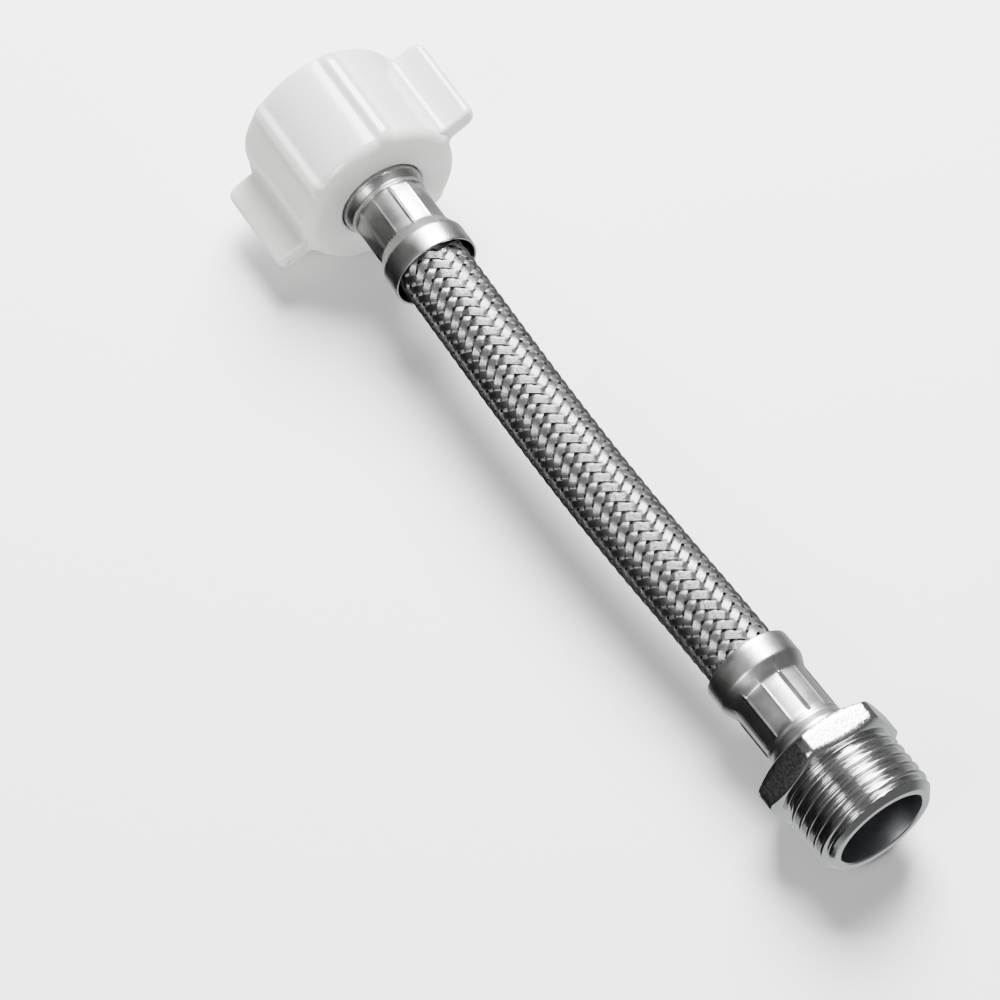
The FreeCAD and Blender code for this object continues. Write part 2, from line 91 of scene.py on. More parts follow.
def length(label, about, millimetres):
    """A length that the user may change."""
    return bpy.props.FloatProperty(
        name=label,
        description=about,
        default=millimetres * MM,
        min=0.0,
        subtype="DISTANCE",
        unit="LENGTH",
        precision=5,
    )


def angle(label, about, degrees):
    """An angle round the hose that the user may change."""
    return bpy.props.FloatProperty(
        name=label,
        description=about,
        default=math.radians(degrees),
        subtype="ANGLE",
        unit="ROTATION",
    )


def tint(label, about, hex_colour):
    """A colour that the user may change."""
    return bpy.props.FloatVectorProperty(
        name=label,
        description=about,
        default=linear(hex_colour),
        size=4,
        min=0.0,
        max=1.0,
        subtype="COLOR",
    )


# ---------------------------------------------------------------- sizes and colours


class NutSizes(bpy.types.PropertyGroup):
    """Sizes of the coupling nut."""

    barrel: length("Barrel radius", "Outer radius of the nut between its ribs", 14.35)
    lip: length("Mouth lip", "How far the mouth stands in front of the thread", 0.8)
    depth: length("Length", "From the start of the thread to the back face", 20.5)
    shoulder: length("Shoulder", "Inside face of the back wall", 16.5)
    hole: length("Hole radius", "Hole in the back wall round the ferrule", 7.55)
    thread_crest: length("Thread crest", "Inside thread, radius of its crests", 10.175)
    thread_root: length("Thread root", "Inside thread, radius of its roots", 11.11)
    thread_end: length("Thread length", "Where the inside thread ends", 9.524)
    relief: length("Relief radius", "Clear bore behind the thread", 11.3)
    pitch: length("Thread pitch", "Fourteen threads to the inch", 1.814)
    back_round: length("Back rounding", "Rounding of the barrel's back edge", 2.2)
    rib_height: length("Rib height", "Height of a grip rib", 0.8)
    rib_width: length("Rib width", "Width of a grip rib at its foot", 3.2)
    wing_reach: length("Wing reach", "Radius of a wing's tip", 20.6)
    wing_start: length("Wing start", "Front end of a wing", 1.3)
    wing_end: length("Wing end", "Back end of a wing", 18.8)
    turn: angle("Wing turn", "Rest angle of the wings above +Y", 23.5)
    colour: tint("Plastic", "Natural unpigmented plastic", "#D3D3D1")


class FerruleSizes(bpy.types.PropertyGroup):
    """Sizes of the two crimped ferrules."""

    reach: length("Length", "From the beaded end to the open mouth", 18.7)
    collar: length("Collar radius", "Outer radius of the open collar", 7.7)
    neck: length("Neck radius", "Outer radius of the crimped neck", 6.6)
    bead: length("Bead radius", "Outer radius of the rolled bead", 7.4)
    wall: length("Wall", "Thickness of the sheet", 0.5)
    ridge_height: length("Ridge height", "Ridge that the crimping jaws leave", 0.22)
    ridge_width: length("Ridge width", "Width of that ridge", 0.4)
    ridges: bpy.props.IntProperty(
        name="Ridges", description="Ridges round the neck", default=12, min=4, max=24
    )
    nut_end: length("Nut end", "Where the ferrule at the nut begins", 19.2)
    colour: tint("Steel", "Drawn stainless sheet", "#BCBCBB")


class BraidSizes(bpy.types.PropertyGroup):
    """Sizes of the hose and its wire braid."""

    lead: length("Lead", "Length in which a bundle of wires goes once round", 26.15)
    middle: length("Middle radius", "Radius on which the two layers cross", 5.9)
    wave: length("Wave", "How far a bundle rises and dips from that radius", 0.22)
    wire: length("Wire rise", "How far a wire stands above the groove beside it", 0.16)
    tube: length("Tube radius", "Outer radius of the rubber tube", 5.5)
    start: length("Start", "Distance along the hose where the drawn braid begins", 11.3)
    bundles: bpy.props.IntProperty(
        name="Bundles", description="Bundles in each direction", default=12, min=4, max=32
    )
    cells: bpy.props.IntProperty(
        name="Crossings", description="Crossings along the drawn braid", default=91, min=8
    )
    wires: bpy.props.IntProperty(
        name="Wires", description="Wires side by side in a bundle", default=7, min=3, max=10
    )
    cover: bpy.props.FloatProperty(
        name="Cover",
        description="Share of the bundle's pitch that its wires fill",
        default=0.75,
        min=0.3,
        max=1.0,
        subtype="FACTOR",
    )
    turn: angle("Braid turn", "Angle above +Y from which the crossings are counted", 1.7)
    colour: tint("Wire", "Drawn stainless wire", "#BDBDBC")


class AdapterSizes(bpy.types.PropertyGroup):
    """Sizes of the male adapter."""

    flats: length("Across flats", "Width of the hexagon", 22.0)
    corner: length("Corner radius", "Turned radius of the hexagon's corners", 12.35)
    hexagon: length("Hexagon length", "Length of the hexagon", 5.0)
    set_back: length("Set back", "From the end of the hose to the hexagon", 1.8)
    crest: length("Thread crest", "Outside thread, radius of its crests", 10.478)
    root: length("Thread root", "Outside thread, radius of its roots", 9.316)
    pitch: length("Thread pitch", "Fourteen threads to the inch", 1.814)
    relief: length("Relief", "Turned groove between hexagon and thread", 0.9)
    thread_end: length("Thread end", "Where the thread's last turn ends", 15.242)
    tip: length("Tip", "End face of the adapter", 16.542)
    tip_radius: length("Tip radius", "Outer radius of the end face", 9.15)
    bore: length("Bore", "Radius of the water way at the mouth", 7.75)
    turn: angle("Hexagon turn", "Rest angle of a corner above +Y", -3.5)
    colour: tint("Nickel", "Bright nickel plate on brass", "#C6C6C5")


class SealSizes(bpy.types.PropertyGroup):
    """Sizes of the parts inside the nut."""

    snout: length("Snout", "Radius of the nipple's snout", 4.5)
    flange: length("Flange", "Radius of the nipple's flange", 9.6)
    way: length("Water way", "Bore of the nipple", 2.8)
    washer: length("Washer", "Radius of the washer's base", 9.7)
    nose: length("Nose", "Radius of the washer's nose", 7.4)
    rubber: tint("Rubber", "Moulded sealing rubber", "#2B2C2E")
    brass: tint("Brass", "Turned brass", "#B79A5B")


GROUPS = {
    "connector_nut": NutSizes,
    "connector_ferrule": FerruleSizes,
    "connector_braid": BraidSizes,
    "connector_adapter": AdapterSizes,
    "connector_seal": SealSizes,
}


# ---------------------------------------------------------------- nodes and materials


def add_node(tree, kind, links=(), **settings):
    """Add one node. links gives each input a value or another node's output."""
    node = tree.nodes.new(kind)
    for key, value in settings.items():
        setattr(node, key, value)
    for socket, value in dict(links).items():
        if isinstance(value, bpy.types.NodeSocket):
            tree.links.new(value, node.inputs[socket])
        else:
            node.inputs[socket].default_value = value
    return node


def new_material(name, colour, metallic, roughness, more=()):
    """A material and its shader; more gives the shader further inputs."""
    material = bpy.data.materials.new(name)
    material.use_nodes = True
    material.diffuse_color = colour
    shader = material.node_tree.nodes["Principled BSDF"]
    shader.inputs["Base Color"].default_value = colour
    shader.inputs["Metallic"].default_value = metallic
    shader.inputs["Roughness"].default_value = roughness
    for socket, value in dict(more).items():
        shader.inputs[socket].default_value = value
    return material, shader


def noise(tree, size, detail):
    """Noise that stays on the piece, with patches of a size in metres."""
    place = add_node(tree, "ShaderNodeTexCoord").outputs["Object"]
    links = {"Vector": place, "Scale": 1 / size, "Detail": detail}
    return add_node(tree, "ShaderNodeTexNoise", links).outputs["Fac"]


def remap(tree, value, start, end, low, high, **settings):
    """The value, with its range from start to end stretched to low and high."""
    links = {"Value": value, "From Min": start, "From Max": end, "To Min": low, "To Max": high}
    return add_node(tree, "ShaderNodeMapRange", links, **settings).outputs["Result"]


def dimmed(colour, share):
    """The colour with its light multiplied by a share."""
    return [c * share for c in colour[:3]] + [1]


def mottle(tree, shader, factor, first, second):
    """Let the base colour go from the first colour to the second with the factor."""
    links = {"Factor": factor, "A": first, "B": second}
    mix = add_node(tree, "ShaderNodeMix", links, data_type="RGBA")
    tree.links.new(mix.outputs["Result"], shader.inputs["Base Color"])


def bump(tree, shader, height, strength, depth):
    """Let the surface rise and fall by a depth in metres."""
    links = {"Height": height, "Strength": strength, "Distance": depth}
    node = add_node(tree, "ShaderNodeBump", links)
    tree.links.new(node.outputs["Normal"], shader.inputs["Normal"])


def moulded_plastic(name, colour):
    """Natural moulded polypropylene: milky and waxy, light soaks in and rims glow."""
    waxy = {
        "IOR": 1.49,
        "Coat Weight": 0.7,
        "Coat Roughness": 0.14,
        "Subsurface Weight": 0.35,
        "Subsurface Radius": (1.0, 1.0, 0.95),
        "Subsurface Scale": 3.5 * MM,
    }
    material, shader = new_material(name, colour, metallic=0.0, roughness=0.26, more=waxy)
    tree = material.node_tree
    polish = noise(tree, size=3 * MM, detail=3.0)
    gloss = remap(tree, polish, start=0.0, end=1.0, low=0.2, high=0.3)
    tree.links.new(gloss, shader.inputs["Roughness"])
    flow = noise(tree, size=6 * MM, detail=2.0)
    mottle(tree, shader, flow, colour, dimmed(colour, 0.95))
    bump(tree, shader, polish, strength=0.25, depth=0.05 * MM)
    return material


def bright_metal(name, colour, roughness, grain, relief):
    """Bright metal with a fine grain and duller patches; grain and relief are in metres."""
    material, shader = new_material(name, colour, metallic=1.0, roughness=roughness)
    tree = material.node_tree
    grit = noise(tree, size=grain, detail=2.0)
    stain = noise(tree, size=4 * MM, detail=4.0)
    dull = remap(
        tree, stain, start=0.3, end=0.7, low=roughness * 0.85, high=roughness * 1.25
    )
    tree.links.new(dull, shader.inputs["Roughness"])
    mottle(tree, shader, grit, colour, dimmed(colour, 0.82))
    bump(tree, shader, grit, strength=1.0, depth=relief)
    return material


def forged_nickel(name, colour):
    """Nickel over a forged, tumbled face: small pits that catch the light as speckle, and are
    painted darker as painted shade.
    """
    material, shader = new_material(name, colour, metallic=1.0, roughness=0.24)
    tree = material.node_tree
    pits = noise(tree, size=0.45 * MM, detail=2.0)
    # painted shade: where the noise is low, in the pits, the colour is painted at half brightness
    painted_pit_shade = remap(tree, pits, start=0.36, end=0.64, low=0.0, high=1.0)
    mottle(tree, shader, painted_pit_shade, dimmed(colour, 0.5), colour)
    bump(tree, shader, pits, strength=1.0, depth=0.07 * MM)
    return material


def moulded_rubber(name, colour):
    """Moulded black rubber: dull, with a fine bloom."""
    material, shader = new_material(name, colour, metallic=0.0, roughness=0.62)
    tree = material.node_tree
    bloom = noise(tree, size=0.8 * MM, detail=4.0)
    mottle(tree, shader, bloom, colour, dimmed(colour, 1.6))
    bump(tree, shader, bloom, strength=0.5, depth=0.03 * MM)
    return material


# ---------------------------------------------------------------- mesh helpers


SAME = 1e-7  # points closer than this, in metres, are one
ARC_SHARE = 0.48  # an arc takes at most this share of the side before or after it


def rounded(corners, steps=5):
    """Points of a closed outline of (x, radius, rounding), each corner turned by an arc."""
    points = []
    for i, (x, r, rounding) in enumerate(corners):
        here = Vector((x, r))
        before = Vector(corners[i - 1][:2]) - here
        after = Vector(corners[(i + 1) % len(corners)][:2]) - here
        if rounding <= 0 or before.length < SAME or after.length < SAME:
            points.append(here)
            continue
        half = before.angle(after) / 2
        back = rounding / math.tan(half)
        back = min(back, ARC_SHARE * before.length, ARC_SHARE * after.length)
        radius = back * math.tan(half)
        start = here + before.normalized() * back
        stop = here + after.normalized() * back
        centre = here + (before.normalized() + after.normalized()).normalized() * (
            radius / math.sin(half)
        )
        a, b = start - centre, stop - centre
        sweep = a.angle_signed(b)
        for k in range(steps + 1):
            points.append(centre + Matrix.Rotation(-sweep * k / steps, 2) @ a)
    return [(p.x, p.y) for p in points]


def spread(outline, longest, closed=True):
    """The outline with its long runs divided."""
    points = []
    for i, (x, r) in enumerate(outline):
        if i == len(outline) - 1 and not closed:
            points.append((x, r))
            break
        nx, nr = outline[(i + 1) % len(outline)]
        parts = max(1, math.ceil(math.hypot(nx - x, nr - r) / longest))
        points += [(x + (nx - x) * k / parts, r + (nr - r) * k / parts) for k in range(parts)]
    return points


def polar(x, radius, angle):
    """The point at a radius and angle round X."""
    return Vector((x, radius * math.cos(angle), radius * math.sin(angle)))


def turned_rings(outline, count, change=None):
    """Rings of points for an outline turned about X. change(x, r, angle) may move a point."""
    rings = []
    for x, r in outline:
        ring = []
        for k in range(count):
            angle = 2 * math.pi * k / count
            px, pr = change(x, r, angle) if change else (x, r)
            ring.append(polar(px, pr, angle))
        rings.append(ring)
    return rings


def face_out(mesh, merge=0.0):
    """Turn the mesh's faces outwards, and first merge points closer than merge."""
    work = bmesh.new()
    work.from_mesh(mesh)
    if merge:
        bmesh.ops.remove_doubles(work, verts=work.verts, dist=merge)
    bmesh.ops.recalc_face_normals(work, faces=work.faces)
    work.to_mesh(mesh)
    work.free()


def skin(name, rings, place=None, sharp=40):
    """A closed mesh over rings that follow each other and come back to the first."""
    count = len(rings[0])
    points = [place @ p if place else p for ring in rings for p in ring]
    faces = []
    for i in range(len(rings)):
        a, b = i * count, ((i + 1) % len(rings)) * count
        for k in range(count):
            n = (k + 1) % count
            faces.append((a + k, a + n, b + n, b + k))
    mesh = bpy.data.meshes.new(name)
    mesh.from_pydata(points, [], faces)
    face_out(mesh, merge=SAME)
    mesh.polygons.foreach_set("use_smooth", [True] * len(mesh.polygons))
    mesh.set_sharp_from_angle(angle=math.radians(sharp))
    return mesh


def add_object(name, data):
    """A new object in the scene."""
    made = bpy.data.objects.new(name, data)
    bpy.context.scene.collection.objects.link(made)
    return made


def add_piece(name, mesh, materials, body, slot, *nodes):
    """Show a mesh as a piece that rides on a body and stands for CAD nodes."""
    piece = add_object(name, mesh)
    for material in materials:
        mesh.materials.append(material)
    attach(piece, body)
    if nodes:
        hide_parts(*nodes)
    return piece


def axes(origin, forward):
    """Matrix that puts local +X along forward and keeps +Z up."""
    x = Vector(forward).normalized()
    y = Vector((0, 0, 1)).cross(x).normalized()
    z = x.cross(y)
    turn = Matrix((x, y, z)).transposed().to_4x4()
    return Matrix.Translation(origin) @ turn


def hose_end():
    """Where the hose ends, and the direction that it ends in."""
    last, before = Vector(ROUTE[-1]), Vector(ROUTE[-2])
    return last, (last - before).normalized()


def route_curve(name):
    """The route as one open NURBS spline."""
    curve = bpy.data.curves.new(name, "CURVE")
    curve.dimensions = "3D"
    spline = curve.splines.new("NURBS")
    spline.points.add(len(ROUTE) - 1)
    for point, place in zip(spline.points, ROUTE):
        point.co = (*place, 1.0)
    spline.order_u = 3
    spline.use_endpoint_u = True
    curve.resolution_u = 24
    return curve


# ---------------------------------------------------------------- nut

RIBS = 6  # grip ribs round the nut
WING_EVERY = 3  # each third rib carries a wing
GAP_POINTS = 8  # points on the barrel at each side of a rib
RIB_FOOT = 1.12  # a rib's foot, as a share of its half width
RIB_TOP = 0.3  # where its round top begins, as a share of its half width
WING_LEAN = 0.95  # width of a wing's head against the width at its root
WING_FILLET = 1.5 * MM  # along a wing's foot
WING_HEAD = 1.1 * MM  # rounding along a wing's head
WING_CORNER = 1.5 * MM  # rounding of the head at a wing's two ends
WING_TAPER = 0.7 * MM  # length over which a wing's end gets its full width
WING_END_WIDTH = 0.66  # share of that width at the very end
FILLET_SWEEP = math.radians(75)  # how far round a foot fillet goes
MOUTH_ROUND = 0.5 * MM  # outer edge of the mouth
RIB_RISE = 2.5 * MM  # length over which the ribs rise at the mouth
RIB_AT_MOUTH = 0.25  # share of a rib's height at the very mouth
RIB_FALL = 2.5 * MM  # length over which the ribs fall towards the back
RIB_FALL_EARLY = 0.7 * MM  # how far in front of the back rounding they begin to fall
RIB_DROP = 1.9 * MM  # how much they fall
NUT_THREAD_STEPS = 84
THREAD_DEEP_FADE = MM  # length over which the nut's thread runs out at its deep end
THREAD_MOUTH_FADE = 0.6 * MM  # and over which it begins at the mouth

# distances from a wing's end at which its outline needs a ring
WING_RINGS = (-1e-6, 0.0, 0.04 * MM, 0.15 * MM, 0.35 * MM, 0.7 * MM, 1.1 * MM, 1.5 * MM)

# the mouth's flare: (distance behind the mouth, how much wider than the thread's roots)
MOUTH_FLARE = ((0.45 * MM, 0.1 * MM), (0.3 * MM, 0.45 * MM), (0.08 * MM, 0.75 * MM), (0.0, MM))


def raised_outline(half, lean, foot, head, height):
    """Across a wing: (sideways, share of height), with a foot fillet and a rounded head."""
    left = []
    for k in range(4):
        a = FILLET_SWEEP * k / 3
        left.append((-(half + foot) + foot * math.sin(a), foot * (1 - math.cos(a)) / height))
    for k in range(6):
        b = math.pi / 2 * k / 5
        side = -half * lean + head * (1 - math.cos(b))
        left.append((side, (height - head * (1 - math.sin(b))) / height))
    return left + [(0.0, 1.0)] + [(-t, f) for t, f in reversed(left)]


def soft_outline(half, top):
    """Across a grip rib: (sideways, share of height), rounded from its top to its foot."""
    points = []
    for k in range(21):
        side = half * (k / 10 - 1)
        away = min(1.0, max(0.0, (abs(side) - top) / (half - top)))
        points.append((side, 0.5 + 0.5 * math.cos(math.pi * away)))
    return points


def under(outline, side):
    """Height of an outline of (sideways, height) at one place."""
    for (a, low), (b, high) in zip(outline, outline[1:]):
        if a <= side <= b and b > a:
            return low + (high - low) * (side - a) / (b - a)
    return 0.0


def nut_ring(size, x, barrel, rib, wing, narrow):
    """One ring round the outside of the nut at x; rib and wing are heights above the barrel."""
    half = size.rib_width / 2
    reach = math.pi / RIBS
    ring = []

    def on_barrel(angle):
        ring.append(polar(x, barrel, angle))

    for k in range(RIBS):
        low = soft_outline(half * RIB_FOOT, half * RIB_TOP)
        across = [(side, rib * share) for side, share in low]
        if k % WING_EVERY == 0 and wing > rib:
            full = size.wing_reach - size.barrel
            high = raised_outline(half * narrow, WING_LEAN, WING_FILLET, WING_HEAD, full)
            across = [
                (side, max(wing * share, under(across, side) if rib > 0 else 0.0))
                for side, share in high
            ]
        centre = size.turn + 2 * k * reach
        edge = math.asin(-across[0][0] / barrel)
        for j in range(GAP_POINTS):
            on_barrel(centre - reach + (reach - edge) * j / GAP_POINTS)
        for side, rise in across:
            out = math.sqrt(barrel**2 - side**2) + rise
            y = out * math.cos(centre) - side * math.sin(centre)
            z = out * math.sin(centre) + side * math.cos(centre)
            ring.append(Vector((x, y, z)))
        for j in range(GAP_POINTS):
            on_barrel(centre + edge + (reach - edge) * (j + 1) / (GAP_POINTS + 1))
    return ring


def nut_stations(size):
    """(x, radius of the barrel) of each ring over the outside, from the mouth to the back."""
    front, bend = -size.lip, size.back_round
    stations = []
    for k in range(6):
        a = math.pi / 2 * k / 5
        x = front + MOUTH_ROUND * (1 - math.cos(a))
        stations.append((x, size.barrel - MOUTH_ROUND * (1 - math.sin(a))))
    plain = [k * MM for k in range(1, 18)]
    for end, way in ((size.wing_start, 1), (size.wing_end, -1)):
        plain += [end + way * step for step in WING_RINGS]
    corner = size.depth - bend
    flat_start, flat_end = front + MOUTH_ROUND + 0.1 * MM, corner - 0.05 * MM
    stations += [(x, size.barrel) for x in sorted(plain) if flat_start < x < flat_end]
    tail = [corner + bend * math.sin(math.pi / 2 * k / 9) for k in range(10)]
    for x in sorted(tail + [x for x in plain if x > flat_end]):
        rise = math.sqrt(max(0.0, bend**2 - (x - corner) ** 2))
        stations.append((x, size.barrel - bend + rise))
    return stations


def rib_height_at(size, x, barrel):
    """Height of the grip ribs above the barrel at x."""
    top = size.barrel + size.rib_height
    into = (x - (size.depth - size.back_round - RIB_FALL_EARLY)) / RIB_FALL
    if into > 0:
        top -= RIB_DROP * (1 - math.sqrt(max(0.0, 1 - min(into, 1.0) ** 2)))
    rib = max(0.0, top - barrel) if x < size.depth - 0.3 * MM else 0.0
    if x < 0:
        rib = size.rib_height
    risen = math.sin(math.pi / 2 * min(1.0, (x + size.lip) / RIB_RISE))
    return rib * (RIB_AT_MOUTH + (1 - RIB_AT_MOUTH) * risen)


def wing_at(size, x, barrel):
    """Height of the wings above the barrel at x, and the share of their width there."""
    near = min(x - size.wing_start, size.wing_end - x)
    if near < 0:
        return 0.0, 1.0
    wing, narrow = size.wing_reach - barrel, 1.0
    if near < WING_CORNER:
        wing -= WING_CORNER * (1 - math.sqrt(1 - (1 - near / WING_CORNER) ** 2))
    if near < WING_TAPER:
        round_end = math.sqrt(1 - (1 - near / WING_TAPER) ** 2)
        narrow = WING_END_WIDTH + (1 - WING_END_WIDTH) * round_end
    return wing, narrow


def smooth_tooth(turns, height, steepness):
    """Height of a rounded thread tooth, 0 to 1, at a number of turns along the thread."""
    tooth = min(1.0, max(0.0, height - abs(turns % 1 - 0.5) * steepness))
    return tooth * tooth * (3 - 2 * tooth)


def nut_thread(size, x, angle):
    """Radius of the nut's inside thread at x and an angle."""
    fade = max(0.0, min(1.0, (size.thread_end - x) / THREAD_DEEP_FADE, x / THREAD_MOUTH_FADE))
    tooth = smooth_tooth(x / size.pitch - angle / (2 * math.pi), 1.45, 4.2) * fade
    return size.thread_root - (size.thread_root - size.thread_crest) * tooth


def nut_inside(size):
    """(x, radius) from the back face to the mouth; the radius is None along the thread."""
    inner = rounded(
        [
            (size.depth, size.hole + 3.4 * MM, 0),
            (size.depth, size.hole, 0.5 * MM),
            (size.shoulder, size.hole, 0.25 * MM),
            (size.shoulder, size.relief, 0.4 * MM),
            (size.thread_end, size.relief, 0),
        ]
    )[:-1]
    for k in range(NUT_THREAD_STEPS + 1):
        inner.append((size.thread_end * (1 - k / NUT_THREAD_STEPS), None))
    return inner + [(behind - size.lip, size.thread_root + wider) for behind, wider in MOUTH_FLARE]


def nut_rings(size):
    """Rings over the outside of the nut, round its back, and back through its inside."""
    rings = []
    for x, barrel in nut_stations(size):
        wing, narrow = wing_at(size, x, barrel)
        rings.append(nut_ring(size, x, barrel, rib_height_at(size, x, barrel), wing, narrow))
    count = len(rings[0])
    for x, r in nut_inside(size):
        ring = []
        for k in range(count):
            a = size.turn - math.pi / RIBS + 2 * math.pi * k / count
            radius = nut_thread(size, x, a) if r is None else r
            ring.append(polar(x, radius, a))
        rings.append(ring)
    return rings


class CONNECTOR_OT_nut(bpy.types.Operator):
    """Build the winged coupling nut"""

    bl_idname = "connector.nut"
    bl_label = "Coupling nut"

    def execute(self, context):
        size = context.scene.connector_nut
        plastic = moulded_plastic("natural moulded polypropylene", list(size.colour))
        mesh = skin("coupling_nut_body", nut_rings(size), sharp=48)
        add_piece("coupling_nut_body", mesh, [plastic], "nut", "nut_plastic", "coupling_nut")
        return {"FINISHED"}


# ---------------------------------------------------------------- parts inside the nut

BARBS = 4
BARB_PITCH = 3.4 * MM
BARB_ROOT = 3.6 * MM
BARB_TIP = 4.25 * MM
BARB_BACK = 0.1 * MM  # length of a barb's steep side
STEM_NECK = 6.0 * MM  # radius in front of the barbs
STEM_REACH = 15.5 * MM
STEM_START = 21.0 * MM  # where the nipple's stem leaves its neck
FLANGE_FRONT = 13.8 * MM
FLANGE_BACK = 15.4 * MM
WASHER_FIT = 0.05 * MM  # room round the nipple's snout
WASHER_RIM = 1.2 * MM  # length of the washer's rim behind its cone


def barbed_stem(start, way):
    """Outline of a hose stem along +X: its neck, its barbs and the edge of its water way."""
    corners = [(start, STEM_NECK, 0.2 * MM), (start, BARB_ROOT, 0.1 * MM)]
    for k in range(BARBS):
        barb = start + (k + 1) * BARB_PITCH
        corners.append((barb, BARB_TIP, 0.05 * MM))
        corners.append((barb + BARB_BACK, BARB_ROOT, 0.05 * MM))
    corners.append((start + STEM_REACH, BARB_ROOT, 0.2 * MM))
    corners.append((start + STEM_REACH, way, 0.2 * MM))
    return corners


class CONNECTOR_OT_seal(bpy.types.Operator):
    """Build the cone washer, the flanged nipple and the finish of the slip ring"""

    bl_idname = "connector.seal"
    bl_label = "Washer, nipple and slip ring"

    def execute(self, context):
        size = context.scene.connector_seal
        rubber = moulded_rubber("moulded black rubber", list(size.rubber))
        brass = bright_metal(
            "turned brass", list(size.brass), roughness=0.24, grain=0.3 * MM, relief=0.004 * MM
        )
        low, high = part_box("cone_washer")
        inside = size.snout + WASHER_FIT
        outline = rounded(
            [
                (low.x, inside, 0.25 * MM),
                (low.x, size.nose, 0.5 * MM),
                (high.x - WASHER_RIM, size.washer, 0.35 * MM),
                (high.x, size.washer, 0.15 * MM),
                (high.x, inside, 0.1 * MM),
            ]
        )
        mesh = skin("washer", turned_rings(spread(outline, 1.2 * MM), 120))
        add_piece("sealing_washer", mesh, [rubber], "hose", "washer_rubber", "cone_washer")

        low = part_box("flanged_nipple")[0]
        corners = [
            (low.x, size.way, 0.4 * MM),
            (low.x, size.snout, 0.3 * MM),
            (FLANGE_FRONT, size.snout, 0.1 * MM),
            (FLANGE_FRONT, size.flange, 0.2 * MM),
            (FLANGE_BACK, size.flange, 0.2 * MM),
            (FLANGE_BACK, STEM_NECK, 0.3 * MM),
        ]
        corners += barbed_stem(STEM_START, size.way)
        mesh = skin("nipple", turned_rings(spread(rounded(corners, 4), 1.5 * MM), 96))
        add_piece("barbed_nipple", mesh, [brass], "hose", "nipple_brass", "flanged_nipple")

        glossy = moulded_plastic("white moulded acetal", linear("#E9E9E6"))
        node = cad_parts["slip_ring"]
        node.data.materials.clear()
        node.data.materials.append(glossy)
        return {"FINISHED"}


# ---------------------------------------------------------------- ferrules

# Distances from the beaded end.
THROAT_START = 3.2 * MM  # the bead has run down to the throat
NECK_START = 4.0 * MM
NECK_END = 12.2 * MM
COLLAR_START = 14.6 * MM

THROAT = 6.75 * MM  # outer radius between bead and neck
CRIMP_START_RUN = 0.35 * MM  # length over which the jaws' marks begin
CRIMP_END = 13.2 * MM
CRIMP_END_RUN = 1.6 * MM  # and over which they end
FLATTENED = 0.55  # how flat the neck is between two ridges, 1 for a true polygon
RIDGE_SHARE = 0.55  # of a ridge's full height, from which single ridges differ either way
FERRULE_POINTS = 360


def ferrule_outline(size):
    """Closed outline of a ferrule from its beaded end at x = 0 to its open mouth."""
    wall, neck, collar, bead = size.wall, size.neck, size.collar, size.bead
    m = MM
    corners = [
        (0.0, neck - wall, 0.1 * m),  # end face, then over the bead
        (0.0, 6.65 * m, 0.15 * m),
        (0.24 * m, 7.15 * m, 0.3 * m),
        (0.8 * m, bead, 1.0 * m),
        (1.7 * m, bead, 1.6 * m),
        (THROAT_START, THROAT, 0.9 * m),
        (NECK_START, THROAT, 0.06 * m),
        (NECK_START, neck, 0.05 * m),
        (NECK_END, neck, 1.0 * m),
        (COLLAR_START, collar, 1.3 * m),
        (size.reach - 0.9 * m, collar, 0.6 * m),  # the mouth, then back along the inside
        (size.reach, collar - 0.08 * m, 0.12 * m),
        (size.reach, collar - wall + 0.05 * m, 0.12 * m),
        (COLLAR_START + 0.15 * m, collar - wall, 1.0 * m),
        (NECK_END + 0.15 * m, neck - wall, 0.8 * m),
        (3.4 * m, neck - wall, 0.2 * m),
        (3.1 * m, THROAT - wall, 0.2 * m),
        (1.7 * m, bead - wall, 0.5 * m),
        (0.9 * m, bead - wall, 0.3 * m),
        (wall, 6.55 * m, 0.15 * m),
        (wall, neck - wall, 0.05 * m),
    ]
    return spread(rounded(corners, 6), 0.5 * m)


def ferrule_mesh(name, size, place, turn):
    """A ferrule with the flats and ridges that the crimping jaws leave on its neck."""
    pitch = 2 * math.pi / size.ridges
    low, high = size.neck - 0.25 * MM, size.neck + 1.0 * MM

    def crimp(x, r, angle):
        if not (low <= r <= high and NECK_START < x < CRIMP_END):
            return x, r
        fade = min(1.0, (x - NECK_START) / CRIMP_START_RUN, (CRIMP_END - x) / CRIMP_END_RUN)
        off = (angle - turn + pitch / 2) % pitch - pitch / 2
        from_flat = pitch / 2 - abs(off)
        chord = size.neck * math.cos(pitch / 2) / math.cos(from_flat)
        flat = (size.neck - chord) * FLATTENED
        across = abs(off) * size.neck / (size.ridge_width / 2)
        ridge = size.ridge_height * math.exp(-across * across)
        # the jaws don't close evenly, so each ridge has its own height
        number = round((angle - turn) / pitch) % size.ridges
        worn = RIDGE_SHARE + (1 - RIDGE_SHARE) * math.sin(number * 2.4 + 0.7)
        return x, r + fade * (ridge * worn - flat)

    rings = turned_rings(ferrule_outline(size), FERRULE_POINTS, crimp)
    return skin(name, rings, place, sharp=50)


